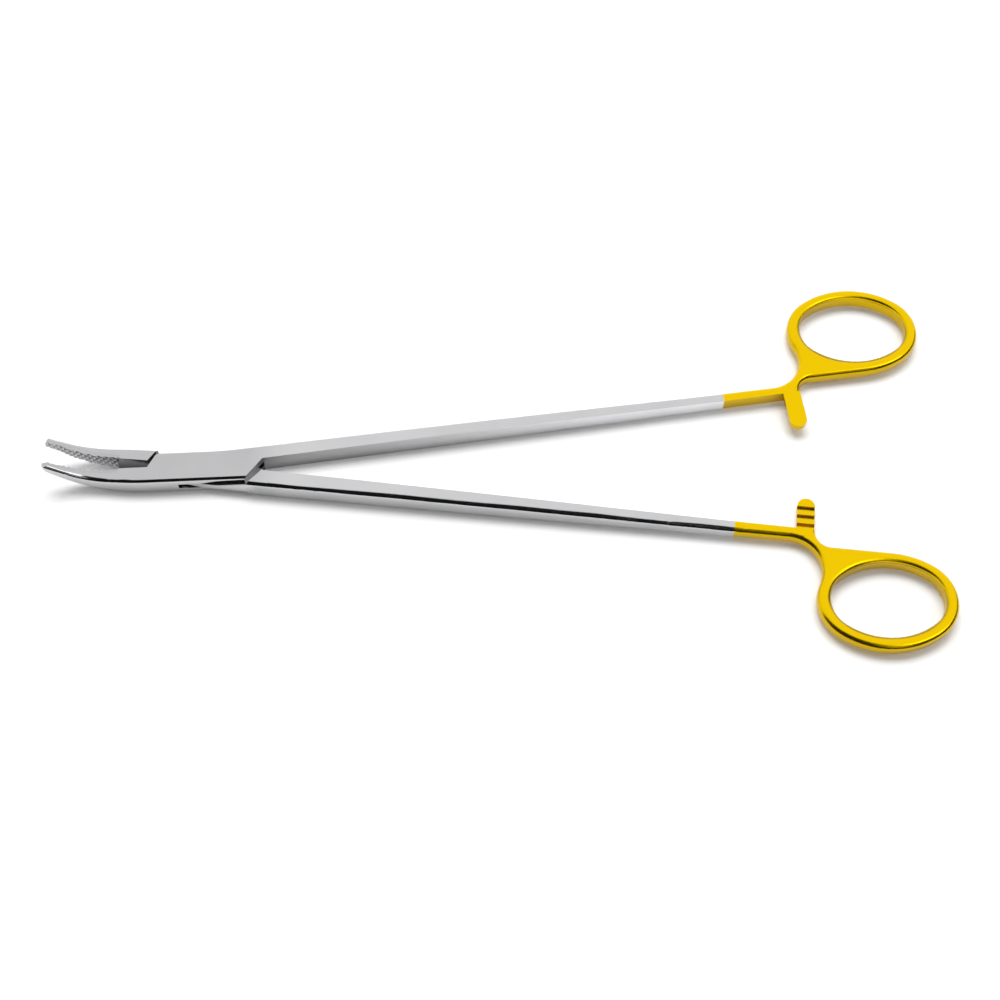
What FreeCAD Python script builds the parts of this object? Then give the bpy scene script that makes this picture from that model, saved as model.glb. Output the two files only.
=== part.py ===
import FreeCAD, Part
import math
import os
import Sketcher

# Surgical needle holder with a box lock, curved jaws with carbide inserts,
# a three-tooth ratchet and gold-plated finger rings.
# Frame: the origin lies on the hinge axis at the lock's underside, +X runs to the
# finger rings, +Z along the hinge axis and towards the side that the jaws curve to.
# Each half is drawn in its own lock frame, in which the jaw's mating face lies
# on y = 0 and the middle plane of the lock on z = 0, and is then turned about the
# hinge to the half-open pose.

os.makedirs("parts", exist_ok=True)
doc = FreeCAD.newDocument("NeedleHolder")

# Driving sizes in millimetres and degrees
SIZES = [
    # Box lock: the female half carries two outer plates, the male half a tongue
    ("lock_thickness", "6.3"),
    ("lock_half_width", "4.8"),
    ("plate_thickness", "2.15"),
    ("slide_clearance", "0.05"),
    ("wall_clearance", "0.25"),
    ("front_corner", "15.45"),
    ("front_lean", "2.7"),
    ("rear_flank_corner", "11.4"),
    ("rear_corner", "16.35"),
    ("slot_front", "7.0"),
    ("slot_rear", "7.1"),
    ("wall_runout", "0.3"),
    ("jaw_shoulder_gap", "0.2"),
    ("shank_shoulder_gap", "1.3"),
    ("tongue_front_width", "3.5"),
    # Hinge pin, pressed into the plates and ground flush
    ("pin_diameter", "3.4"),
    ("pin_clearance", "0.05"),
    # Jaws, measured from the hinge axis
    ("jaw_root", "19.4"),
    ("jaw_tip", "43.6"),
    ("jaw_nose_radius", "2.3"),
    ("jaw_back_blend", "4.0"),
    ("female_tip_width", "2.15"),
    ("male_tip_width", "1.95"),
    ("male_mid_width", "3.1"),
    ("male_mid", "30.0"),
    ("top_bend_start", "26.9"),
    ("top_dip", "0.29"),
    ("top_bend_radius", "20.0"),
    ("top_bend_angle", "31.0"),
    ("top_tip", "41.3"),
    ("bottom_bend_start", "25.6"),
    ("bottom_rise", "0.56"),
    ("bottom_slope", "5.7"),
    ("bottom_bend_radius", "25.0"),
    ("bottom_bend_angle", "37.6"),
    ("bottom_tip", "43.0"),
    ("nose_radius", "1.37"),
    ("jaw_back_rounding", "1.1"),
    ("tip_allowance", "1.0"),
    # Carbide inserts
    ("insert_thickness", "1.2"),
    ("insert_end_top", "23.5"),
    ("insert_end_bottom", "25.1"),
    ("serration_pitch", "1.4"),
    ("serration_width", "1.25"),
    ("serration_depth", "0.36"),
    # Shanks, in a frame whose x axis runs along the closed instrument
    ("female_shank_angle", "5.0"),
    ("male_shank_angle", "1.0"),
    ("shank_start", "18.0"),
    ("shank_start_inner", "-0.1"),
    ("shank_flank_corner", "5.66"),
    ("shank_flank_blend", "4.0"),
    ("shank_hollow", "1200.0"),
    ("shank_end", "150.0"),
    ("shank_end_depth", "3.9"),
    ("shank_rounding", "1.4"),
    ("underside_chamfer", "0.8"),
    # Web between shank and ring
    ("web_start", "161.0"),
    ("web_start_outer", "4.4"),
    ("web_heel_radius", "4.4"),
    # Finger rings: ovals of four arcs round an oval hole
    ("ring_x", "187.6"),
    ("ring_y", "20.3"),
    ("ring_half_length", "18.6"),
    ("ring_half_width", "14.2"),
    ("ring_end_radius", "12.0"),
    ("ring_tilt", "7.4"),
    ("ring_wire_width", "3.4"),
    ("ring_hole_chamfer", "0.35"),
    # Ratchet fingers
    ("finger_x", "165.7"),
    ("finger_width", "4.8"),
    ("female_finger_reach", "9.55"),
    ("male_finger_reach", "8.75"),
    ("finger_nose", "2.0"),
    ("finger_gap", "0.2"),
    ("tooth_pitch", "2.62"),
    ("tooth_height", "0.75"),
    ("tooth_end", "6.3"),
    ("tooth_count", "3"),
    # Half-open pose of the photograph, as turns from the jaws-closed pose
    ("female_turn", "1.94"),
    ("male_turn", "5.94"),
]

sheet = doc.addObject("Spreadsheet::Sheet", "Size")
for row, (alias, value) in enumerate(SIZES, start=1):
    sheet.set(f"A{row}", alias.replace("_", " "))
    sheet.set(f"B{row}", value)
    sheet.setAlias(f"B{row}", alias)

calculator = doc.addObject("App::FeaturePython", "Calculator")
calculator.addProperty("App::PropertyFloat", "Result")
derived = doc.addObject("App::FeaturePython", "Derived")
doc.recompute()


def worked_out(formula):
    """The number that a formula on the sheet's sizes gives now."""
    calculator.setExpression("Result", formula)
    calculator.recompute()
    return calculator.Result


def derive(name, formula):
    """A value that follows from the sheet's sizes, kept under a name for other formulas."""
    derived.addProperty("App::PropertyFloat", name)
    derived.setExpression(name, formula)
    derived.recompute()
    return "Derived." + name


def turned(side, angle, along, across):
    """Lock-frame formulas of a point of a shank, which leaves the lock at an angle."""
    point_x = f"(({along}) * cos({angle}) - ({across}) * sin({angle}))"
    point_y = f"({side} * (({along}) * sin({angle}) + ({across}) * cos({angle})))"
    return point_x, point_y


def new_body(name):
    return doc.addObject("PartDesign::Body", name)


def new_sketch(body, name, role):
    """A sketch on one of the body's own origin planes."""
    sketch = body.newObject("Sketcher::SketchObject", name)
    plane = next(item for item in body.Origin.OriginFeatures if item.Role == role)
    sketch.AttachmentSupport = [(plane, "")]
    sketch.MapMode = "FlatFace"
    return sketch


def arc_between(start, end, radius, bulge):
    """A circular arc from start to end that bulges left (+1) or right (-1) of its chord."""
    chord = end - start
    half = chord.Length / 2
    lift = math.sqrt(max(radius * radius - half * half, 0.0))
    left = FreeCAD.Vector(-chord.y, chord.x, 0).normalize()
    centre = (start + end) * 0.5 - left * (bulge * lift)
    middle = centre + left * (bulge * radius)
    return Part.Arc(start, middle, end)


def draw_outline(sketch, corners, arcs=None):
    """A closed outline whose corners, given as pairs of formulas, are bound to the sheet.

    arcs maps the number of an edge's first corner to its radius formula and bulge."""
    arcs = arcs or {}
    spots = [FreeCAD.Vector(worked_out(x), worked_out(y), 0) for x, y in corners]
    ends = []
    for index, start in enumerate(spots):
        end = spots[(index + 1) % len(spots)]
        if index in arcs:
            radius, bulge = arcs[index]
            edge = arc_between(start, end, worked_out(radius), bulge)
            number = sketch.addGeometry(edge, False)
            limit = sketch.addConstraint(Sketcher.Constraint("Radius", number, worked_out(radius)))
            sketch.setExpression(f"Constraints[{limit}]", radius)
            first, last = (2, 1) if bulge > 0 else (1, 2)
        else:
            number = sketch.addGeometry(Part.LineSegment(start, end), False)
            first, last = 1, 2
        ends.append((number, first, last))
    for index, (number, first, last) in enumerate(ends):
        before, _, before_last = ends[index - 1]
        sketch.addConstraint(Sketcher.Constraint("Coincident", before, before_last, number, first))
        for kind, formula, value in zip(("DistanceX", "DistanceY"), corners[index], spots[index]):
            limit = sketch.addConstraint(Sketcher.Constraint(kind, -1, 1, number, first, value))
            sketch.setExpression(f"Constraints[{limit}]", formula)
    return sketch


def draw_frame(sketch, reach_x, reach_y):
    """A plain rectangle round an outline: the pocket takes away all between the two."""
    low_x, high_x = reach_x
    low_y, high_y = reach_y
    corners = [(low_x, low_y), (high_x, low_y), (high_x, high_y), (low_x, high_y)]
    spots = [FreeCAD.Vector(x, y, 0) for x, y in corners]
    for start, end in zip(spots, spots[1:] + spots[:1]):
        sketch.addGeometry(Part.LineSegment(start, end), False)


def make_pad(body, name, sketch, length, sides="Symmetric"):
    pad = body.newObject("PartDesign::Pad", name)
    pad.Profile = (sketch, [""])
    pad.SideType = sides
    pad.setExpression("Length", length)
    doc.recompute()
    return pad


def make_plate(name, corners, low, high, arcs=None):
    """A body of even thickness between two heights, with the given plan."""
    body = new_body(name)
    sketch = new_sketch(body, name + "_plan", "XY_Plane")
    sketch.setExpression("AttachmentOffset.Base.z", low)
    draw_outline(sketch, corners, arcs)
    doc.recompute()
    make_pad(body, name + "_pad", sketch, f"({high}) - ({low})", "One side")
    return body


def make_pocket(body, name, sketch):
    """A pocket through everything, both ways from its sketch."""
    before = body.Shape.Volume
    pocket = body.newObject("PartDesign::Pocket", name)
    pocket.Profile = (sketch, [""])
    pocket.SideType = "Symmetric"
    pocket.Type = "ThroughAll"
    doc.recompute()
    if not body.Shape.Volume < before:
        raise ValueError(name + " takes nothing away")
    return pocket


def edges_over(shape, plan, numbers, levels):
    """Names of the edges over the given lines of a plan sketch, above (+1) or below (-1)."""
    lines = [plan.Geometry[number].toShape() for number in numbers]
    names = []
    for number, edge in enumerate(shape.Edges, start=1):
        first, last = edge.ParameterRange
        flat = [edge.valueAt(at) for at in (first, (first + last) / 2, last)]
        spots = [Part.Vertex(spot.x, spot.y, 0) for spot in flat]
        upright = (flat[0] - flat[2]).cross(FreeCAD.Vector(0, 0, 1)).Length < 1e-4
        if upright or not any(flat[1].z * level > 0 for level in levels):
            continue
        if any(max(line.distToShape(spot)[0] for spot in spots) < 1e-4 for line in lines):
            names.append(f"Edge{number}")
    return names


def dress_edges(body, kind, name, edges, size_name, size):
    """Rounds or chamfers some edges of a body; this takes a little away."""
    before = body.Shape.Volume
    base = body.Tip
    dressing = body.newObject(kind, name)
    dressing.Base = (base, edges)
    dressing.setExpression(size_name, size)
    doc.recompute()
    if not 0.9 * before < body.Shape.Volume < before or not body.Shape.isValid():
        raise ValueError(name + " isn't sound")
    return dressing


def make_fillet(body, name, plan, numbers, radius, levels):
    edges = edges_over(body.Shape, plan, numbers, levels)
    return dress_edges(body, "PartDesign::Fillet", name, edges, "Radius", radius)


def make_chamfer(body, name, plan, numbers, size, levels):
    edges = edges_over(body.Shape, plan, numbers, levels)
    return dress_edges(body, "PartDesign::Chamfer", name, edges, "Size", size)


HALF_LOCK = "Size.lock_thickness / 2"
HALF_END = "Size.shank_end_depth / 2"
TIP_END = "(Size.jaw_tip + Size.tip_allowance)"
SLAB_WIDTH = "120.0"
FRAME_X = (-90.0, 260.0)
FRAME_Y = (-90.0, 90.0)

# The side view's flowing curves: each swelling arc runs into a hollow one with no corner
taper_run = derive("TaperRun", "Size.shank_end - Size.shank_start")
taper_drop = derive("TaperDrop", f"{HALF_LOCK} - {HALF_END}")
taper_chord = derive("TaperChord", f"sqrt({taper_run} ^ 2 + {taper_drop} ^ 2)")
taper_sine = derive("TaperSine", f"2 * {taper_run} * {taper_drop} / {taper_chord} ^ 2")
taper_cosine = derive("TaperCosine", f"({taper_run} ^ 2 - {taper_drop} ^ 2) / {taper_chord} ^ 2")
taper_swell = derive("TaperSwell", f"{taper_run} / {taper_sine} - Size.shank_hollow")
dip_run = derive("DipRun", "Size.top_bend_start - Size.jaw_root")
dip_chord = derive("DipChord", f"sqrt({dip_run} ^ 2 + Size.top_dip ^ 2)")
dip_sine = derive("DipSine", f"2 * {dip_run} * Size.top_dip / {dip_chord} ^ 2")
dip_cosine = derive("DipCosine", f"({dip_run} ^ 2 - Size.top_dip ^ 2) / {dip_chord} ^ 2")
dip_swell = derive("DipSwell", f"{dip_run} / {dip_sine} - Size.top_bend_radius")
rise_swell = derive("RiseSwell", "Size.bottom_rise / (1 - cos(Size.bottom_slope))")


def jaw_end(reach):
    """The straight end of the curved jaw, in side view: upper and lower height at a reach."""
    top_end_z = f"({HALF_LOCK} - Size.top_dip + Size.top_bend_radius * {top_turn_z})"
    low_end_z = f"(Size.bottom_rise - {HALF_LOCK} + Size.bottom_bend_radius * {low_turn_z})"
    top_z = f"({top_end_z} + ({reach} - {top_end_x}) * tan(Size.top_bend_angle))"
    low_z = f"({low_end_z} + ({reach} - {low_end_x}) * tan(Size.bottom_bend_angle))"
    return top_end_z, low_end_z, top_z, low_z


top_turn_z = "(1 - cos(Size.top_bend_angle))"
low_turn_z = "(cos(Size.bottom_slope) - cos(Size.bottom_bend_angle))"
low_turn_x = "(sin(Size.bottom_bend_angle) - sin(Size.bottom_slope))"
top_end_x = "(Size.top_bend_start + Size.top_bend_radius * sin(Size.top_bend_angle))"
low_end_x = f"(Size.bottom_bend_start + Size.bottom_bend_radius * {low_turn_x})"


def side_corners():
    """The side view of a half, in x and z: curved jaw, flat lock and tapering shank."""
    beyond_tip = "(Size.jaw_tip + 2 * Size.tip_allowance)"
    top_end_z, low_end_z, tip_top_z, tip_low_z = jaw_end(beyond_tip)
    low_start = f"(Size.bottom_rise - {HALF_LOCK})"
    low_flat_x = f"({rise_swell} * sin(Size.bottom_slope) - Size.bottom_bend_start)"
    taper_x = f"(Size.shank_start + {taper_swell} * {taper_sine})"
    taper_z = f"({HALF_LOCK} - {taper_swell} * (1 - {taper_cosine}))"
    dip_x = f"(Size.jaw_root + {dip_swell} * {dip_sine})"
    dip_z = f"({HALF_LOCK} - {dip_swell} * (1 - {dip_cosine}))"
    beyond = "(Size.ring_x + 2 * Size.ring_half_length)"
    return [
        (f"-{beyond_tip}", tip_top_z),
        (f"-{beyond_tip}", tip_low_z),
        (f"-{low_end_x}", low_end_z),
        ("-Size.bottom_bend_start", low_start),
        (low_flat_x, f"-{HALF_LOCK}"),
        ("Size.shank_start", f"-{HALF_LOCK}"),
        (taper_x, f"-{taper_z}"),
        ("Size.shank_end", f"-{HALF_END}"),
        (beyond, f"-{HALF_END}"),
        (beyond, HALF_END),
        ("Size.shank_end", HALF_END),
        (taper_x, taper_z),
        ("Size.shank_start", HALF_LOCK),
        ("-Size.jaw_root", HALF_LOCK),
        (f"-{dip_x}", dip_z),
        (f"-{top_end_x}", top_end_z),
    ]


SIDE_ARCS = {
    2: ("Size.bottom_bend_radius", -1),
    3: (rise_swell, -1),
    5: (taper_swell, -1),
    6: ("Size.shank_hollow", 1),
    10: ("Size.shank_hollow", 1),
    11: (taper_swell, -1),
    13: (dip_swell, -1),
    14: ("Size.top_bend_radius", 1),
}

# The ring's oval in its own axes: two end arcs and two flat arcs, all tangent
end_centre = derive("EndCentre", "Size.ring_half_length - Size.ring_end_radius")
flat_over = "(2 * (Size.ring_half_width - Size.ring_end_radius))"
flat_sum = f"({end_centre} ^ 2 + Size.ring_half_width ^ 2 - Size.ring_end_radius ^ 2)"
flat_radius = derive("FlatRadius", f"{flat_sum} / {flat_over}")
flat_centre = derive("FlatCentre", f"{flat_radius} - Size.ring_half_width")
flat_ratio = f"({flat_radius} - Size.ring_end_radius)"
web_low = derive("WebLow", f"Size.ring_y + {flat_centre} * cos(Size.ring_tilt) - {flat_radius}")
web_foot = derive("WebFoot", f"{web_low} - Size.web_heel_radius")


def oval_spot(side, angle, inset, along, across):
    """The oval's joint of a flat arc and an end arc, in one of its four quarters."""
    run = f"({along} * {end_centre} * ({flat_radius} - {inset}) / {flat_ratio})"
    rise = f"({across} * {flat_centre} * (Size.ring_end_radius - {inset}) / {flat_ratio})"
    point_u = f"(Size.ring_x + {run} * cos(Size.ring_tilt) + {rise} * sin(Size.ring_tilt))"
    point_v = f"(Size.ring_y - {run} * sin(Size.ring_tilt) + {rise} * cos(Size.ring_tilt))"
    return turned(side, angle, point_u, point_v)


def arm_plan(name, side, angle, flank_x):
    """The plan corners of a shank, its web and its ring, and the web back's radius.

    The outer side runs straight from the flank at flank_x to the start of the web, whose
    back is an arc that is tangent to this side and to the ring's near end."""
    def spot(along, across):
        return turned(side, angle, along, across)

    start_x, start_y = turned(1, angle, "Size.web_start", "Size.web_start_outer")
    start_x = derive(name + "WebStartX", start_x)
    start_y = derive(name + "WebStartY", start_y)
    run = f"({start_x} - ({flank_x}))"
    rise = f"({start_y} - Size.lock_half_width)"
    outer = derive(name + "OuterLength", f"sqrt({run} ^ 2 + {rise} ^ 2)")
    unit_x = derive(name + "OuterUnitX", f"{run} / {outer}")
    unit_y = derive(name + "OuterUnitY", f"{rise} / {outer}")
    near_u = f"(Size.ring_x - {end_centre} * cos(Size.ring_tilt))"
    near_v = f"(Size.ring_y + {end_centre} * sin(Size.ring_tilt))"
    near_x, near_y = turned(1, angle, near_u, near_v)
    near_x = derive(name + "NearEndX", near_x)
    near_y = derive(name + "NearEndY", near_y)
    gap = f"(({near_x} - {start_x}) ^ 2 + ({near_y} - {start_y}) ^ 2 - Size.ring_end_radius ^ 2)"
    off = f"(({near_y} - {start_y}) * {unit_x} - ({near_x} - {start_x}) * {unit_y})"
    back = derive(name + "WebBack", f"{gap} / (2 * ({off} + Size.ring_end_radius))")
    back_x = derive(name + "WebBackX", f"{start_x} - {back} * {unit_y}")
    back_y = derive(name + "WebBackY", f"{start_y} + {back} * {unit_x}")
    share = f"({back} / ({back} + Size.ring_end_radius))"
    touch_x = f"({back_x} + {share} * ({near_x} - {back_x}))"
    touch_y = f"({side} * ({back_y} + {share} * ({near_y} - {back_y})))"
    corners = [
        spot("Size.finger_x - Size.finger_width / 2", web_foot),
        spot("Size.finger_x + Size.finger_width / 2", web_foot),
        spot("Size.finger_x + Size.finger_width / 2 + Size.web_heel_radius", web_low),
        spot(f"Size.ring_x + {flat_centre} * sin(Size.ring_tilt)", web_low),
        oval_spot(side, angle, "0", 1, -1),
        oval_spot(side, angle, "0", 1, 1),
        oval_spot(side, angle, "0", -1, 1),
        (touch_x, touch_y),
        (start_x, f"({side} * {start_y})"),
    ]
    return corners, back


def arm_arcs(first, side, back):
    """The arcs of a shank's plan, for corners that start at the given number."""
    return {
        first + 1: ("Size.web_heel_radius", side),
        first + 3: (flat_radius, -side),
        first + 4: ("Size.ring_end_radius", -side),
        first + 5: (flat_radius, -side),
        first + 6: ("Size.ring_end_radius", -side),
        first + 7: (back, side),
    }


def nose_tool():
    """What lies beyond the rounded tip of both jaws, in side view."""
    far = "(2 * Size.jaw_tip)"
    top_z = jaw_end("Size.top_tip")[2]
    low_z = jaw_end("Size.bottom_tip")[3]
    body = new_body("nose_tool")
    side_nose = new_sketch(body, "nose_side_view", "XZ_Plane")
    corners = [
        ("-Size.top_tip", top_z),
        ("-Size.bottom_tip", low_z),
        (f"-{far}", low_z),
        (f"-{far}", far),
        ("-Size.top_tip", far),
    ]
    draw_outline(side_nose, corners, {0: ("Size.nose_radius", -1)})
    doc.recompute()
    make_pad(body, "nose_pad", side_nose, SLAB_WIDTH)
    return body


def cut_nose(body, name, side, tip_width):
    """Rounds off the jaw's tip in plan."""
    far = "(2 * Size.jaw_tip)"
    plan_nose = new_sketch(body, name + "_plan_nose", "XY_Plane")
    corners = [
        ("-Size.jaw_tip", "0"),
        ("-Size.top_tip", f"-{side} * {tip_width}"),
        ("-Size.top_tip", f"-{side} * {far}"),
        (f"-{far}", f"-{side} * {far}"),
        (f"-{far}", f"{side} * {far}"),
        ("-Size.jaw_tip", f"{side} * {far}"),
    ]
    draw_outline(plan_nose, corners, {0: ("Size.jaw_nose_radius", -side)})
    doc.recompute()
    make_pocket(body, name + "_plan_nose_cut", plan_nose)


def make_blank(name, side, angle, arm, before, after, arcs, outer_lines, tip_width):
    """A half forged in one piece: its side view, cut to its plan, with rounded edges.

    The plan runs from the jaw's tip along its back and the lock to the shank and the
    ring and returns along the outer side, whose last outer_lines lines are listed."""
    body = new_body(name)
    side_view = new_sketch(body, name + "_side_view", "XZ_Plane")
    draw_outline(side_view, side_corners(), SIDE_ARCS)
    doc.recompute()
    make_pad(body, name + "_slab", side_view, SLAB_WIDTH)
    plan = new_sketch(body, name + "_plan", "XY_Plane")
    corners, back = arm
    first = len(before)
    arcs = {**arcs, **arm_arcs(first, side, back)}
    draw_outline(plan, before + corners + after, arcs)
    draw_frame(plan, FRAME_X, FRAME_Y)
    doc.recompute()
    make_pocket(body, name + "_trim", plan)
    hole = new_sketch(body, name + "_ring_hole", "XY_Plane")
    wire = "Size.ring_wire_width"
    quarters = ((1, -1), (1, 1), (-1, 1), (-1, -1))
    spots = [oval_spot(side, angle, wire, along, across) for along, across in quarters]
    end = (f"Size.ring_end_radius - {wire}", -side)
    flat = (f"{flat_radius} - {wire}", -side)
    draw_outline(hole, spots, {0: end, 1: flat, 2: end, 3: flat})
    doc.recompute()
    make_pocket(body, name + "_ring_cut", hole)
    numbers = range(first + 1, first + 8 + outer_lines)
    make_fillet(body, name + "_upper_edges", plan, numbers, "Size.shank_rounding", [1])
    make_chamfer(body, name + "_lower_edges", plan, numbers, "Size.underside_chamfer", [-1])
    make_chamfer(body, name + "_hole_edges", hole, range(4), "Size.ring_hole_chamfer", [1, -1])
    jaw_back = range(1, 4)
    make_fillet(body, name + "_back_edges", plan, jaw_back, "Size.jaw_back_rounding", [1, -1])
    cut_nose(body, name, side, tip_width)
    return body


def female_blank():
    """The half that carries the outer plates: jaw on the -y side, shank on the +y side."""
    angle = "Size.female_shank_angle"
    arm = arm_plan("Female", 1, angle, "Size.shank_flank_corner")
    back_x = "(Size.top_tip - Size.jaw_root)"
    back_y = "(Size.lock_half_width - Size.female_tip_width)"
    back_length = derive("FemaleBackLength", f"sqrt({back_x} ^ 2 + {back_y} ^ 2)")
    blend = "Size.jaw_back_blend"
    back_radius = derive("FemaleBackRadius", f"{blend} * ({back_length} + {back_x}) / {back_y}")
    shank = "Size.shank_flank_blend"
    units = "(1 + Derived.FemaleOuterUnitX) / Derived.FemaleOuterUnitY"
    shank_radius = derive("FemaleShankRadius", f"{shank} * {units}")
    before = [
        (f"-{TIP_END}", "0"),
        (f"-{TIP_END}", f"({TIP_END} - Size.top_tip) * {back_y} / {back_x} - Size.female_tip_width"),
        (f"-(Size.jaw_root + {blend} * {back_x} / {back_length})",
         f"-(Size.lock_half_width - {blend} * {back_y} / {back_length})"),
        (f"-(Size.jaw_root - {blend})", "-Size.lock_half_width"),
        ("Size.rear_flank_corner", "-Size.lock_half_width"),
        turned(1, angle, "Size.rear_corner", "Size.shank_start_inner"),
    ]
    after = [
        (f"Size.shank_flank_corner + {shank} * Derived.FemaleOuterUnitX",
         f"Size.lock_half_width + {shank} * Derived.FemaleOuterUnitY"),
        (f"Size.shank_flank_corner - {shank}", "Size.lock_half_width"),
        ("-(Size.front_corner - Size.front_lean)", "Size.lock_half_width"),
        ("-Size.front_corner", "0"),
    ]
    arcs = {2: (back_radius, -1), len(before) + 9: (shank_radius, 1)}
    return make_blank("female_blank", 1, angle, arm, before, after, arcs, 3,
                      "Size.female_tip_width")


def male_blank():
    """The half that carries the tongue: jaw on the +y side, shank on the -y side."""
    angle = "Size.male_shank_angle"
    flank_x = "-(Size.slot_front - Size.wall_clearance)"
    arm = arm_plan("Male", -1, angle, flank_x)
    clear_x = "(Size.rear_corner - Size.wall_clearance)"
    rear_y = "Size.rear_corner * sin(Size.female_shank_angle) - Size.wall_clearance"
    tongue_x = "Size.slot_rear"
    tongue_y = "(Size.lock_half_width - Size.wall_clearance)"
    fore_x = "(Size.top_tip - Size.male_mid)"
    fore_y = "(Size.male_mid_width - Size.male_tip_width)"
    fore = derive("MaleForeLength", f"sqrt({fore_x} ^ 2 + {fore_y} ^ 2)")
    aft_x = f"(Size.male_mid + {tongue_x})"
    aft_y = f"({tongue_y} - Size.male_mid_width)"
    aft = derive("MaleAftLength", f"sqrt({aft_x} ^ 2 + {aft_y} ^ 2)")
    sine = f"(({fore_y} * {aft_x} - {fore_x} * {aft_y}) / ({fore} * {aft}))"
    cosine = f"(({fore_x} * {aft_x} + {fore_y} * {aft_y}) / ({fore} * {aft}))"
    blend = "Size.jaw_back_blend"
    back_radius = derive("MaleBackRadius", f"{blend} * (1 + {cosine}) / {sine}")
    before = [
        (f"-{TIP_END}", "0"),
        (f"-{TIP_END}", f"Size.male_tip_width - ({TIP_END} - Size.top_tip) * {fore_y} / {fore_x}"),
        (f"-(Size.male_mid + {blend} * {fore_x} / {fore})",
         f"Size.male_mid_width - {blend} * {fore_y} / {fore}"),
        (f"-(Size.male_mid - {blend} * {aft_x} / {aft})",
         f"Size.male_mid_width + {blend} * {aft_y} / {aft}"),
        (tongue_x, tongue_y),
        (clear_x, rear_y),
        turned(-1, angle, clear_x, "Size.shank_start_inner"),
    ]
    after = [
        (flank_x, "-Size.lock_half_width"),
        ("-(Size.front_corner - Size.wall_clearance)", "0"),
    ]
    return make_blank("male_blank", -1, angle, arm, before, after,
                      {2: (back_radius, 1)}, 1, "Size.male_tip_width")


def make_cut(name, base, tool):
    cut = doc.addObject("Part::Cut", name)
    cut.Base = base
    cut.Tool = tool
    doc.recompute()
    if not cut.Shape.Volume < base.Shape.Volume - 1.0:
        raise ValueError(name + " takes nothing away")
    return cut


def ratchet_finger(name, reach):
    """A finger that points along -y above the middle plane, with hooked teeth beneath."""
    left = "Size.finger_x - Size.finger_width / 2"
    right = "Size.finger_x + Size.finger_width / 2"
    root = f"{web_foot} + Size.finger_gap"
    shoulder = f"-({reach} - Size.finger_nose)"
    nose = "((Size.finger_width / 2) ^ 2 + Size.finger_nose ^ 2) / (2 * Size.finger_nose)"
    corners = [(left, root), (left, shoulder), (right, shoulder), (right, root)]
    face = "Size.finger_gap / 2"
    body = make_plate(name, corners, face, HALF_END, {1: (nose, -1)})
    tooth = new_sketch(body, name + "_tooth", "YZ_Plane")
    tooth.setExpression("AttachmentOffset.Base.z", "Size.finger_x")
    crest = "-Size.tooth_end"
    notch = [
        (crest, face),
        (f"{crest} + Size.tooth_pitch", face),
        (crest, f"{face} + Size.tooth_height"),
    ]
    draw_outline(tooth, notch)
    doc.recompute()
    make_pocket(body, name + "_notch", tooth)
    notch_cut = body.Tip
    pattern = body.newObject("PartDesign::LinearPattern", name + "_teeth")
    pattern.Originals = [notch_cut]
    pattern.Direction = (tooth, ["H_Axis"])
    pattern.setExpression("Length", "Size.tooth_pitch * (Size.tooth_count - 1)")
    pattern.setExpression("Occurrences", "Size.tooth_count")
    body.Tip = pattern
    doc.recompute()
    return body


def insert_slab(name, side):
    """The layer of a jaw that its carbide insert takes up, with a slanted rear end."""
    lean = "((Size.insert_end_bottom - Size.insert_end_top) / Size.lock_thickness)"
    middle = "(Size.insert_end_bottom + Size.insert_end_top) / 2"
    low = "-2 * Size.lock_thickness"
    high = "3 * Size.lock_thickness"
    body = new_body(name)
    sketch = new_sketch(body, name + "_side_view", "XZ_Plane")
    beyond = "-(Size.jaw_tip + Size.jaw_root)"
    corners = [
        (beyond, low),
        (f"{lean} * ({low}) - {middle}", low),
        (f"{lean} * ({high}) - {middle}", high),
        (beyond, high),
    ]
    draw_outline(sketch, corners)
    doc.recompute()
    pad = make_pad(body, name + "_pad", sketch, "Size.insert_thickness", "One side")
    pad.Reversed = side < 0
    doc.recompute()
    return body


def lock_slot():
    """The slanting way through the female half's middle layer, between its two walls."""
    past = "(1 + Size.wall_runout)"
    front_run = "(Size.front_corner - Size.slot_front)"
    rear_x = "(Size.rear_corner * cos(Size.female_shank_angle))"
    rear_y = "(Size.rear_corner * sin(Size.female_shank_angle))"
    rear_run_x = f"({rear_x} - Size.slot_rear)"
    rear_run_y = f"(Size.lock_half_width - {rear_y})"
    wide = "(2 * Size.lock_half_width)"
    front_low_x = f"-(Size.slot_front - Size.wall_runout * {front_run})"
    front_high_x = f"-(Size.front_corner + Size.wall_runout * {front_run})"
    rear_high_x = f"Size.slot_rear - Size.wall_runout * {rear_run_x}"
    rear_low_x = f"{rear_x} + Size.wall_runout * {rear_run_x}"
    corners = [
        (front_low_x, f"-{past} * Size.lock_half_width"),
        (front_high_x, "Size.wall_runout * Size.lock_half_width"),
        (front_high_x, wide),
        (rear_high_x, wide),
        (rear_high_x, f"Size.lock_half_width + Size.wall_runout * {rear_run_y}"),
        (rear_low_x, f"{rear_y} - Size.wall_runout * {rear_run_y}"),
        (rear_low_x, f"-{wide}"),
        (front_low_x, f"-{wide}"),
    ]
    half_slot = f"({HALF_LOCK} - Size.plate_thickness)"
    return make_plate("lock_slot", corners, f"-{half_slot}", half_slot)


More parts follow.
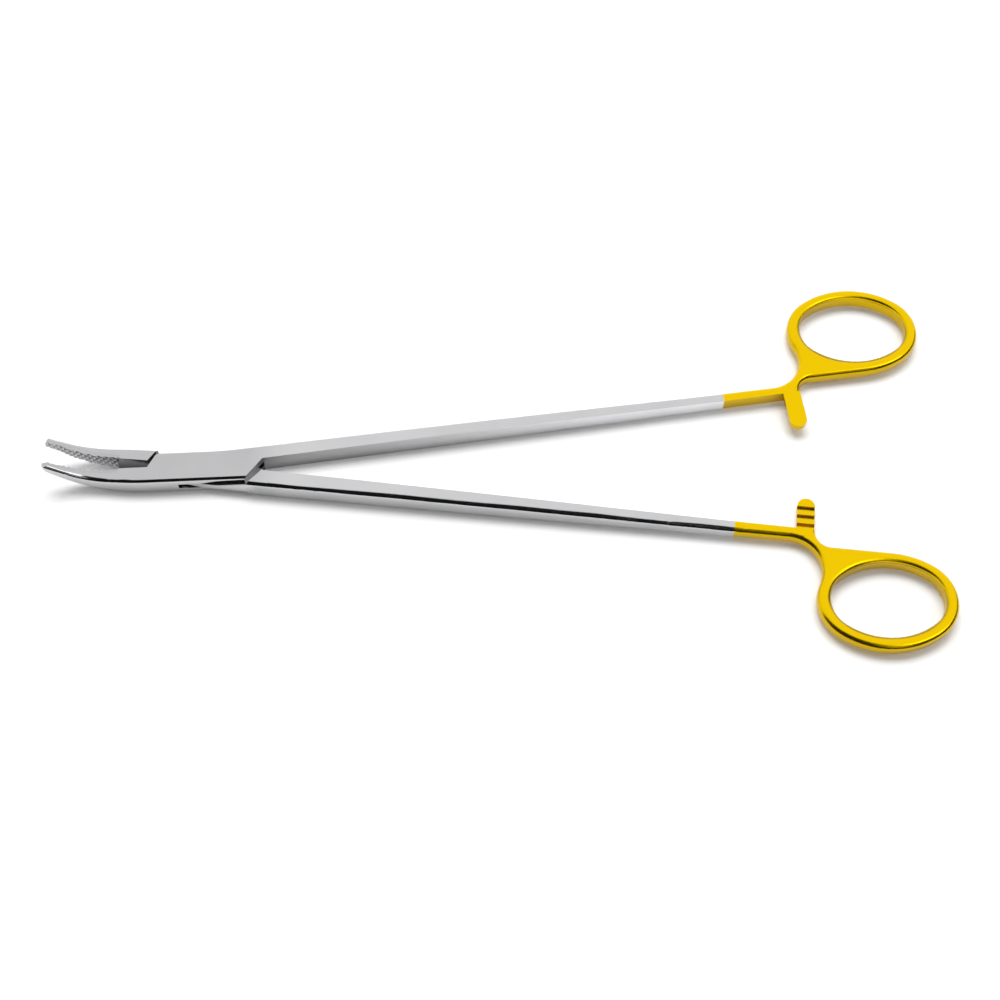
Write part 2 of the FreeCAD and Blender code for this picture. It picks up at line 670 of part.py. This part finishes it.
def tongue_clearing(name, low, high):
    """What the male half loses above or below its tongue, between its two shoulders."""
    wide = "(2 * Size.lock_half_width)"
    front_x = "(Size.front_corner + Size.jaw_shoulder_gap)"
    front_slope = "(Size.front_lean / Size.lock_half_width)"
    rear_y = "(Size.rear_corner * sin(Size.female_shank_angle))"
    rear_x = "(Size.rear_corner * cos(Size.female_shank_angle))"
    rear_rise = f"(Size.lock_half_width + {rear_y})"
    rear_slope = f"(({rear_x} - Size.rear_flank_corner) / {rear_rise})"
    flank_x = "(Size.rear_flank_corner + Size.shank_shoulder_gap)"
    corners = [
        (f"-{front_x} - {front_slope} * {wide}", f"-{wide}"),
        (f"{flank_x} - {rear_slope} * Size.lock_half_width", f"-{wide}"),
        (f"{flank_x} + {rear_slope} * (Size.lock_half_width + {wide})", wide),
        (f"-{front_x} + {front_slope} * {wide}", wide),
    ]
    return make_plate(name, corners, low, high)


def make_bore(name, radius):
    bore = doc.addObject("Part::Cylinder", name)
    bore.setExpression("Radius", radius)
    bore.setExpression("Height", "2 * Size.lock_thickness")
    bore.setExpression("Placement.Base.z", "-Size.lock_thickness")
    doc.recompute()
    return bore


def serration(name, slant):
    """V grooves across the mating face, one pitch apart and turned by the slant."""
    pitch = worked_out("Size.serration_pitch")
    half = worked_out("Size.serration_width / 2")
    depth = worked_out("Size.serration_depth")
    middle_x = -worked_out("(Size.jaw_tip + Size.insert_end_top) / 2")
    reach = worked_out("Size.jaw_tip - Size.insert_end_top")
    count = int(reach / pitch) + 1
    corners = [(-half, 0.0), (0.0, -depth), (half, 0.0), (0.0, depth)]
    spots = [FreeCAD.Vector(across, height, 0) for across, height in corners]
    face = Part.Face(Part.makePolygon(spots + spots[:1]))
    bar = face.extrude(FreeCAD.Vector(0, 0, 2 * reach))
    bar.translate(FreeCAD.Vector(0, 0, -reach))
    bars = []
    for step in range(-count, count + 1):
        groove = bar.copy()
        groove.translate(FreeCAD.Vector(step * pitch, 0, 0))
        groove.rotate(FreeCAD.Vector(0, 0, 0), FreeCAD.Vector(0, 1, 0), slant)
        groove.translate(FreeCAD.Vector(middle_x, 0, worked_out(HALF_LOCK)))
        bars.append(groove)
    grooves = doc.addObject("Part::Feature", name)
    grooves.Shape = Part.makeCompound(bars)
    return grooves


def make_half(name, blank, finger, tools):
    """The forging with its finger, worked by the lock's cuts one after another."""
    shape = doc.addObject("Part::MultiFuse", name + "_with_finger")
    shape.Shapes = [blank, finger]
    doc.recompute()
    for number, tool in enumerate(tools[:-1], start=1):
        shape = make_cut(f"{name}_cut_{number}", shape, tool)
    return make_cut(name, shape, tools[-1])


Z_AXIS = FreeCAD.Vector(0, 0, 1)
ORIGIN = FreeCAD.Vector(0, 0, 0)

beyond_nose = nose_tool()
female_body = make_cut("female_forging", female_blank(), beyond_nose)
male_body = make_cut("male_forging", male_blank(), beyond_nose)

# The fingers overlap side by side: the male one is the same shape turned over
female_finger = ratchet_finger("female_finger", "Size.female_finger_reach")
male_finger = ratchet_finger("male_finger", "Size.male_finger_reach")
female_lean = FreeCAD.Rotation(Z_AXIS, worked_out("Size.female_shank_angle"))
male_lean = FreeCAD.Rotation(Z_AXIS, -worked_out("Size.male_shank_angle"))
turned_over = FreeCAD.Rotation(FreeCAD.Vector(1, 0, 0), 180)
female_finger.Placement = FreeCAD.Placement(ORIGIN, female_lean)
male_finger.Placement = FreeCAD.Placement(ORIGIN, male_lean.multiply(turned_over))

half_tongue = f"({HALF_LOCK} - Size.plate_thickness - Size.slide_clearance)"
slot = lock_slot()
clearing_top = tongue_clearing("clearing_top", half_tongue, "Size.lock_thickness")
clearing_bottom = tongue_clearing("clearing_bottom", "-Size.lock_thickness", f"-{half_tongue}")
plate_bore = make_bore("plate_bore", "Size.pin_diameter / 2")
tongue_bore = make_bore("tongue_bore", "Size.pin_diameter / 2 + Size.pin_clearance")
female_slab = insert_slab("female_insert_slab", 1)
male_slab = insert_slab("male_insert_slab", -1)

female_half = make_half("female_half", female_body, female_finger,
                        [slot, plate_bore, female_slab])
male_half = make_half("male_half", male_body, male_finger,
                      [clearing_top, clearing_bottom, tongue_bore, male_slab])

pivot_pin = doc.addObject("Part::Cylinder", "pivot_pin")
pivot_pin.setExpression("Radius", "Size.pin_diameter / 2")
pivot_pin.setExpression("Height", "Size.lock_thickness")


def jaw_insert(name, blank, slab):
    """A carbide insert: the jaw's own outline within the slab, with a cross-cut face."""
    layer = doc.addObject("Part::Common", name + "_layer")
    layer.Base = blank
    layer.Tool = slab
    doc.recompute()
    once = make_cut(name + "_grooved", layer, groove_rows[0])
    return make_cut(name, once, groove_rows[1])


# Both inserts share the two rows of grooves, which cross at right angles
groove_rows = [serration("grooves_rising", 45), serration("grooves_falling", -45)]
female_jaw_insert = jaw_insert("female_jaw_insert", female_body, female_slab)
male_jaw_insert = jaw_insert("male_jaw_insert", male_body, male_slab)

# The half-open pose: the lock's underside lies on z = 0
lift = FreeCAD.Vector(0, 0, worked_out(HALF_LOCK))
female_pose = FreeCAD.Rotation(Z_AXIS, worked_out("Size.female_turn"))
male_pose = FreeCAD.Rotation(Z_AXIS, -worked_out("Size.male_turn"))
female_half.Placement = FreeCAD.Placement(lift, female_pose)
female_jaw_insert.Placement = FreeCAD.Placement(lift, female_pose)
male_half.Placement = FreeCAD.Placement(lift, male_pose)
male_jaw_insert.Placement = FreeCAD.Placement(lift, male_pose)
doc.recompute()

for item in doc.Objects:
    if any(word in item.State for word in ("Invalid", "Error")):
        raise ValueError(item.Name + " did not build")

parts = [female_half, male_half, pivot_pin, female_jaw_insert, male_jaw_insert]
for item in parts:
    if item.Shape.isNull() or not item.Shape.isValid() or len(item.Shape.Solids) != 1:
        raise ValueError(item.Name + " is not one sound solid")
    item.Label = item.Name
for item in parts:
    item.Shape.exportStep(f"parts/{item.Label}.step")
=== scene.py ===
import math
import bpy
from mathutils import Matrix, Vector


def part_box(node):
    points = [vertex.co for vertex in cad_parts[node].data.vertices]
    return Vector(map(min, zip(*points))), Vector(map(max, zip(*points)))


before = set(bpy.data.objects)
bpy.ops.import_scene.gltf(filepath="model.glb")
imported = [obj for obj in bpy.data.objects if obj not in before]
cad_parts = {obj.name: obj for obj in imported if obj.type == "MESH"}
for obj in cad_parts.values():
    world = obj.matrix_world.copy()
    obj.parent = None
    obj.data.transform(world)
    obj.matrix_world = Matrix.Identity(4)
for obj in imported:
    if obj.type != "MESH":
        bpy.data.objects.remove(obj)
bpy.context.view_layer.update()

# Camera.
# It looks down on the instrument from a little in front of it, at the photograph's
# angle and distance.
CAMERA_TURN = math.radians(0.89)
CAMERA_HEIGHT = math.radians(61.52)
CAMERA_ROLL = math.radians(-1.53)
CAMERA_DISTANCE = 0.4382
VIEW_MIDDLE = Vector((0.08176, -0.01058, 0.00315))
LENS_MM = 57.6
SENSOR_MM = 36.0
NEAREST_SEEN = 0.01

back = Vector((math.sin(CAMERA_TURN) * math.cos(CAMERA_HEIGHT),
               -math.cos(CAMERA_TURN) * math.cos(CAMERA_HEIGHT),
               math.sin(CAMERA_HEIGHT)))
right = Vector((0, 0, 1)).cross(back).normalized()
up = back.cross(right)
rolled_right = right * math.cos(CAMERA_ROLL) + up * math.sin(CAMERA_ROLL)
rolled_up = up * math.cos(CAMERA_ROLL) - right * math.sin(CAMERA_ROLL)
camera_data = bpy.data.cameras.new("studio_camera")
camera_data.lens = LENS_MM
camera_data.sensor_width = SENSOR_MM
camera_data.clip_start = NEAREST_SEEN
camera = bpy.data.objects.new("studio_camera", camera_data)
bpy.context.scene.collection.objects.link(camera)
turn = Matrix((rolled_right, rolled_up, back)).transposed().to_4x4()
camera.matrix_world = Matrix.Translation(VIEW_MIDDLE + back * CAMERA_DISTANCE) @ turn
bpy.context.scene.camera = camera
bpy.context.scene.view_settings.view_transform = "Standard"

# Studio floor.
# A wide white table top that the instrument lies on. It keeps the soft shadow. For the
# camera and in reflections it also gives a little light, so that it shows white.
FLOOR_REACH = 6.0
FLOOR_MIDDLE = (0.08, 0.0, 0.0)
FLOOR_WHITE = (0.82, 0.82, 0.82, 1.0)
FLOOR_ROUGHNESS = 0.9
FLOOR_SHINE = 0.1
FLOOR_LIFT = 0.10
WHITE = (1.0, 1.0, 1.0, 1.0)


def calculate(tree, operation, *values):
    """A Math node on values that are numbers or other nodes' outputs."""
    step = tree.nodes.new("ShaderNodeMath")
    step.operation = operation
    for slot, value in zip(step.inputs, values):
        if isinstance(value, (int, float)):
            slot.default_value = value
        else:
            tree.links.new(value, slot)
    return step.outputs[0]


bpy.ops.object.select_all(action="DESELECT")
bpy.ops.mesh.primitive_plane_add(size=2 * FLOOR_REACH, location=FLOOR_MIDDLE)
floor = bpy.context.object
floor.name = "studio_floor"
bpy.ops.object.transform_apply(location=True, rotation=False, scale=False)
floor_paint = bpy.data.materials.new("floor_white")
floor_paint.use_nodes = True
tree = floor_paint.node_tree
surface = tree.nodes["Principled BSDF"]
surface.inputs["Base Color"].default_value = FLOOR_WHITE
surface.inputs["Roughness"].default_value = FLOOR_ROUGHNESS
surface.inputs["Specular IOR Level"].default_value = FLOOR_SHINE
surface.inputs["Emission Color"].default_value = WHITE
rays = tree.nodes.new("ShaderNodeLightPath")
seen = calculate(tree, "MAXIMUM", rays.outputs["Is Camera Ray"], rays.outputs["Is Glossy Ray"])
lift = calculate(tree, "MULTIPLY", seen, FLOOR_LIFT)
tree.links.new(lift, surface.inputs["Emission Strength"])
floor.data.materials.append(floor_paint)

# Studio light.
# An even ceiling over a dark room, which rounded edges mirror as dark lines. Two lit panels
# brighten the jaws and the rings' near edges, and a softbox throws the soft shadow.
CEILING = 1.0
ROOM = 0.008
ROOM_TO_CEILING = (-0.04, 0.06)
RIGHT_SIDE = 0.03
CEILING_TO_RIGHT_SIDE = (0.78, 0.90)
JAW_PANEL = 2.4
JAW_PANEL_EDGES = (("X", 0.20, 0.30), ("X", 0.78, 0.66), ("Y", -0.34, -0.28), ("Y", 0.06, -0.04))
RING_PANEL = 0.5
RING_PANEL_EDGES = (("X", 0.06, 0.12), ("X", 0.50, 0.40), ("Y", -0.85, -0.75), ("Y", -0.30, -0.40))
SOFTBOX_PLACE = (0.06, 0.38, 1.15)
SOFTBOX_WIDTH = 0.9
SOFTBOX_DEPTH = 0.5
SOFTBOX_WATTS = 12.0


def axes(tree, vector):
    """The X, Y and Z of a place or a direction."""
    step = tree.nodes.new("ShaderNodeSeparateXYZ")
    tree.links.new(vector, step.inputs[0])
    return step.outputs


def ramp(tree, value, low, high, to_low=0.0, to_high=1.0, shape="SMOOTHSTEP"):
    """A change of a value from one limit to the other, soft unless its shape says otherwise."""
    step = tree.nodes.new("ShaderNodeMapRange")
    step.interpolation_type = shape
    step.inputs["From Min"].default_value = low
    step.inputs["From Max"].default_value = high
    step.inputs["To Min"].default_value = to_low
    step.inputs["To Max"].default_value = to_high
    tree.links.new(value, step.inputs["Value"])
    return step.outputs["Result"]


def lit_panel(tree, direction, strength, edges):
    """Light between soft edges, each an axis and where along it the light is none and full."""
    light = strength
    for axis, none, full in edges:
        light = calculate(tree, "MULTIPLY", ramp(tree, direction[axis], none, full), light)
    return light


world = bpy.data.worlds.new("studio_room")
bpy.context.scene.world = world
world.use_nodes = True
tree = world.node_tree
background = tree.nodes["Background"]
place = tree.nodes.new("ShaderNodeTexCoord")
direction = axes(tree, place.outputs["Generated"])
ceiling = ramp(tree, direction["Y"], *ROOM_TO_CEILING, ROOM, CEILING)
right_side = ramp(tree, direction["X"], *CEILING_TO_RIGHT_SIDE, 1.0, RIGHT_SIDE)
light = calculate(tree, "MULTIPLY", ceiling, right_side)
for strength, edges in ((JAW_PANEL, JAW_PANEL_EDGES), (RING_PANEL, RING_PANEL_EDGES)):
    light = calculate(tree, "ADD", light, lit_panel(tree, direction, strength, edges))
tree.links.new(light, background.inputs["Strength"])
background.inputs["Color"].default_value = WHITE

bpy.ops.object.select_all(action="DESELECT")
bpy.ops.object.light_add(type="AREA", location=SOFTBOX_PLACE)
softbox = bpy.context.object
softbox.name = "softbox"
softbox.data.shape = "RECTANGLE"
softbox.data.size = SOFTBOX_WIDTH
softbox.data.size_y = SOFTBOX_DEPTH
softbox.data.energy = SOFTBOX_WATTS
softbox.visible_glossy = False
aim = Vector(FLOOR_MIDDLE) - softbox.location
softbox.rotation_euler = aim.to_track_quat("-Z", "Y").to_euler()

# Steel halves with gilded handles.
# Each is forged stainless steel with a satin finish, and its handle is plated with polished
# gold. The upright walls between the jaws and in the lock are painted near black as shade.
STEEL = (0.62, 0.62, 0.63, 1.0)
# Near black painted on the walls that stand in shade
PAINTED_SHADE_BLACK = (0.14, 0.14, 0.14, 1.0)
GOLD = (0.90, 0.59, 0.002, 1.0)
# Gold darkened as painted shade
GOLD_IN_PAINTED_SHADE = (0.60, 0.39, 0.001, 1.0)
GOLD_ROUGHNESS = 0.25


def blend(tree, factor, first, second, kind="RGBA"):
    """A mix of two colours, or of two numbers, that are values or other nodes' outputs."""
    step = tree.nodes.new("ShaderNodeMix")
    step.data_type = kind
    tree.links.new(factor, step.inputs["Factor"])
    for slot, value in (("A", first), ("B", second)):
        if isinstance(value, (tuple, float)):
            step.inputs[slot].default_value = value
        else:
            tree.links.new(value, step.inputs[slot])
    return step.outputs["Result"]


def noise(tree, vector, scale, detail):
    """The strength of a noise at a place."""
    step = tree.nodes.new("ShaderNodeTexNoise")
    step.inputs["Scale"].default_value = scale
    step.inputs["Detail"].default_value = detail
    tree.links.new(vector, step.inputs["Vector"])
    return step.outputs["Fac"]


# Satin grain: fine specks along the shank, and broad clouds that change the shade a little
SPECK_STRETCH = (0.15, 1.0, 1.0)
SPECK_SCALE = 2600.0
SPECK_DETAIL = 2.0
SPECK_ROUGHNESS = (0.10, 0.18)
SPECK_HEIGHT = 0.000004
CLOUD_SCALE = 60.0
CLOUD_DETAIL = 3.0
CLOUD_RANGE = (0.3, 0.7)
CLOUD_SHADE = (0.96, 1.03)
grain = bpy.data.node_groups.new("satin_grain", "ShaderNodeTree")
grain.interface.new_socket("Colour", in_out="INPUT", socket_type="NodeSocketColor")
shade_input = grain.interface.new_socket("Shade", in_out="INPUT", socket_type="NodeSocketFloat")
shade_input.default_value = 1.0
grain.interface.new_socket("Colour", in_out="OUTPUT", socket_type="NodeSocketColor")
grain.interface.new_socket("Roughness", in_out="OUTPUT", socket_type="NodeSocketFloat")
grain.interface.new_socket("Height", in_out="OUTPUT", socket_type="NodeSocketFloat")
given = grain.nodes.new("NodeGroupInput")
made = grain.nodes.new("NodeGroupOutput")
place = grain.nodes.new("ShaderNodeTexCoord")
stretch = grain.nodes.new("ShaderNodeMapping")
stretch.inputs["Scale"].default_value = SPECK_STRETCH
grain.links.new(place.outputs["Object"], stretch.inputs["Vector"])
speck = noise(grain, stretch.outputs["Vector"], SPECK_SCALE, SPECK_DETAIL)
cloud = noise(grain, place.outputs["Object"], CLOUD_SCALE, CLOUD_DETAIL)
shade = ramp(grain, cloud, *CLOUD_RANGE, *CLOUD_SHADE, shape="LINEAR")
shade = calculate(grain, "MULTIPLY", shade, given.outputs["Shade"])
shaded = grain.nodes.new("ShaderNodeVectorMath")
shaded.operation = "SCALE"
grain.links.new(given.outputs["Colour"], shaded.inputs[0])
grain.links.new(shade, shaded.inputs["Scale"])
grain.links.new(shaded.outputs["Vector"], made.inputs["Colour"])
roughness = ramp(grain, speck, 0.0, 1.0, *SPECK_ROUGHNESS, shape="LINEAR")
grain.links.new(roughness, made.inputs["Roughness"])
grain.links.new(calculate(grain, "MULTIPLY", speck, SPECK_HEIGHT), made.inputs["Height"])


def satin_metal(name):
    """A metal with its node tree, its shader and a satin grain that waits for its colour."""
    metal = bpy.data.materials.new(name)
    metal.use_nodes = True
    tree = metal.node_tree
    surface = tree.nodes["Principled BSDF"]
    surface.inputs["Metallic"].default_value = 1.0
    satin = tree.nodes.new("ShaderNodeGroup")
    satin.node_tree = grain
    return metal, tree, surface, satin


def dress(metal, *names):
    """Give the pieces of these names their metal."""
    for name in names:
        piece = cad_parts[name]
        piece.data.materials.clear()
        piece.data.materials.append(metal)


finish, tree, surface, satin = satin_metal("satin_steel_and_gold")
place = tree.nodes.new("ShaderNodeTexCoord")
spot = axes(tree, place.outputs["Object"])
facing = axes(tree, place.outputs["Normal"])
along = spot["X"]
across = spot["Y"]
aside = calculate(tree, "ABSOLUTE", across)
upright = calculate(tree, "ABSOLUTE", facing["Z"])

# The gold starts square across each shank
SHANK_TURN = math.radians(6.94)
GOLD_STARTS = 0.1464
GOLD_EDGE = 0.0001
run = calculate(tree, "MULTIPLY", along, math.cos(SHANK_TURN))
run = calculate(tree, "MULTIPLY_ADD", aside, math.sin(SHANK_TURN), run)
gilded = ramp(tree, run, GOLD_STARTS - GOLD_EDGE, GOLD_STARTS + GOLD_EDGE)

# Painted shade: the upright walls between the jaws, in the lock's front gap and at its rear end are
# coloured near black
WALL_SLOPE = (0.45, 0.35)
JAWS_START = (-0.0112, -0.0118)
GAP_SIDE = (-0.0012, -0.0008)
REAR_TURN = (0.30, 0.45)
REAR_ENDS = (0.030, 0.025)
wall = ramp(tree, upright, *WALL_SLOPE)
front = calculate(tree, "MULTIPLY", ramp(tree, along, *JAWS_START), ramp(tree, across, *GAP_SIDE))
rear = calculate(tree, "MULTIPLY", ramp(tree, facing["X"], *REAR_TURN), ramp(tree, along, *REAR_ENDS))
painted_shade_walls = calculate(tree, "MULTIPLY", wall, calculate(tree, "MAXIMUM", front, rear))

# The lock is ground a little darker. The shanks' side walls are duller than the tops and carry
# painted
# shade and reflection: the female half's are dark at the lock and get lighter towards its handle, and
# the male half's are evenly darker
LOCK_SHADE = 0.86
LOCK_ENDS = (0.012, 0.024)
SHANK_STARTS = (0.012, 0.016)
FEMALE_RUN = (0.015, 0.130)
FEMALE_PAINTED_SHADE = (0.60, 1.36)
MALE_SIDE = (-0.0030, -0.0040)
MALE_PAINTED_SHADE = 0.82
WALL_DULLNESS = 0.28
shank_wall = calculate(tree, "MULTIPLY", wall, ramp(tree, along, *SHANK_STARTS))
female_painted_shade = ramp(tree, along, *FEMALE_RUN, *FEMALE_PAINTED_SHADE)
# Painted shade and reflection on the shanks' side walls
painted_wall_shade = blend(tree, ramp(tree, across, *MALE_SIDE), female_painted_shade, MALE_PAINTED_SHADE, "FLOAT")
painted_wall_shade = blend(tree, shank_wall, 1.0, painted_wall_shade, "FLOAT")
lock_shade = ramp(tree, along, *LOCK_ENDS, LOCK_SHADE, 1.0)
tree.links.new(calculate(tree, "MULTIPLY", lock_shade, painted_wall_shade), satin.inputs["Shade"])
satin.inputs["Colour"].default_value = STEEL
# The shaded walls are painted near black
steel = blend(tree, painted_shade_walls, satin.outputs["Colour"], PAINTED_SHADE_BLACK)
roughness = calculate(tree, "MULTIPLY_ADD", shank_wall, WALL_DULLNESS, satin.outputs["Roughness"])
tree.links.new(blend(tree, gilded, roughness, GOLD_ROUGHNESS, "FLOAT"), surface.inputs["Roughness"])

# The ring's wire is rounded towards the hole: its height falls from its middle line
RING_HALF_LENGTH = 0.0186
RING_HALF_WIDTH = 0.0142
WIRE_WIDTH = 0.0034
WIRE_ROUNDING = 0.0023
LEAST_SQUARE = 1e-8
ring_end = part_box("female_half")[1]
off_x = calculate(tree, "SUBTRACT", along, ring_end.x - RING_HALF_LENGTH)
off_y = calculate(tree, "SUBTRACT", aside, ring_end.y - RING_HALF_WIDTH)
share_x = calculate(tree, "DIVIDE", off_x, RING_HALF_LENGTH - WIRE_WIDTH / 2)
share_y = calculate(tree, "DIVIDE", off_y, RING_HALF_WIDTH - WIRE_WIDTH / 2)
oval = calculate(tree, "MULTIPLY", share_x, share_x)
oval = calculate(tree, "MULTIPLY_ADD", share_y, share_y, oval)
oval = calculate(tree, "SQRT", oval)
far = calculate(tree, "MULTIPLY", off_x, off_x)
far = calculate(tree, "MULTIPLY_ADD", off_y, off_y, far)
far = calculate(tree, "SQRT", far)
past_oval = calculate(tree, "SUBTRACT", 1.0, calculate(tree, "DIVIDE", 1.0, oval))
beside = calculate(tree, "MULTIPLY", far, past_oval)
beside = calculate(tree, "MINIMUM", beside, 0.0)
drop = calculate(tree, "MULTIPLY", beside, beside)
drop = calculate(tree, "SUBTRACT", WIRE_ROUNDING ** 2, drop)
dome = calculate(tree, "SQRT", calculate(tree, "MAXIMUM", drop, LEAST_SQUARE))
dome = calculate(tree, "SUBTRACT", dome, WIRE_ROUNDING)
dome = calculate(tree, "MULTIPLY", dome, gilded)
plain = calculate(tree, "SUBTRACT", 1.0, gilded)
height = calculate(tree, "MULTIPLY_ADD", satin.outputs["Height"], plain, dome)
relief = tree.nodes.new("ShaderNodeBump")
relief.inputs["Distance"].default_value = 1.0
tree.links.new(height, relief.inputs["Height"])
tree.links.new(relief.outputs["Normal"], surface.inputs["Normal"])

# Painted shade and reflection: the gold is darker on the upright sides and on the wire's rounded
# flank
SIDE_SLOPE = (0.95, 0.30)
WIRE_FLANK = (-0.0006, -0.0019)
flank = calculate(tree, "MAXIMUM", ramp(tree, upright, *SIDE_SLOPE), ramp(tree, beside, *WIRE_FLANK))
# The darker gold is painted shade and reflection
gold = blend(tree, flank, GOLD, GOLD_IN_PAINTED_SHADE)
tree.links.new(blend(tree, gilded, steel, gold), surface.inputs["Base Color"])
dress(finish, "female_half", "male_half")

# Hinge pin.
# A plain steel pin that joins the halves. It is pressed into the outer plates of the lock
# and ground flush with them, with the same satin finish.
pin_steel, tree, surface, satin = satin_metal("pin_steel")
satin.inputs["Colour"].default_value = STEEL
satin.inputs["Shade"].default_value = LOCK_SHADE
tree.links.new(satin.outputs["Colour"], surface.inputs["Base Color"])
tree.links.new(satin.outputs["Roughness"], surface.inputs["Roughness"])
dress(pin_steel, "pivot_pin")

# Carbide inserts.
# Plates of tungsten carbide, brazed to the jaws and ground flush with them. The
# cross-cut faces, and all that don't look up, are painted a little darker than the ground tops as
# shade.
CARBIDE_IN_PAINTED_SHADE = (0.50, 0.50, 0.51, 1.0)
CARBIDE_TOP = (0.54, 0.54, 0.55, 1.0)
CARBIDE_ROUGHNESS = 0.42
TOP_SLOPE = (0.60, 0.70)

carbide, tree, surface, satin = satin_metal("carbide")
surface.inputs["Roughness"].default_value = CARBIDE_ROUGHNESS
place = tree.nodes.new("ShaderNodeTexCoord")
facing = axes(tree, place.outputs["Normal"])
top = ramp(tree, facing["Z"], *TOP_SLOPE)
# Painted shade on the faces that don't look up
tree.links.new(blend(tree, top, CARBIDE_IN_PAINTED_SHADE, CARBIDE_TOP), satin.inputs["Colour"])
tree.links.new(satin.outputs["Colour"], surface.inputs["Base Color"])
dress(carbide, "female_jaw_insert", "male_jaw_insert")
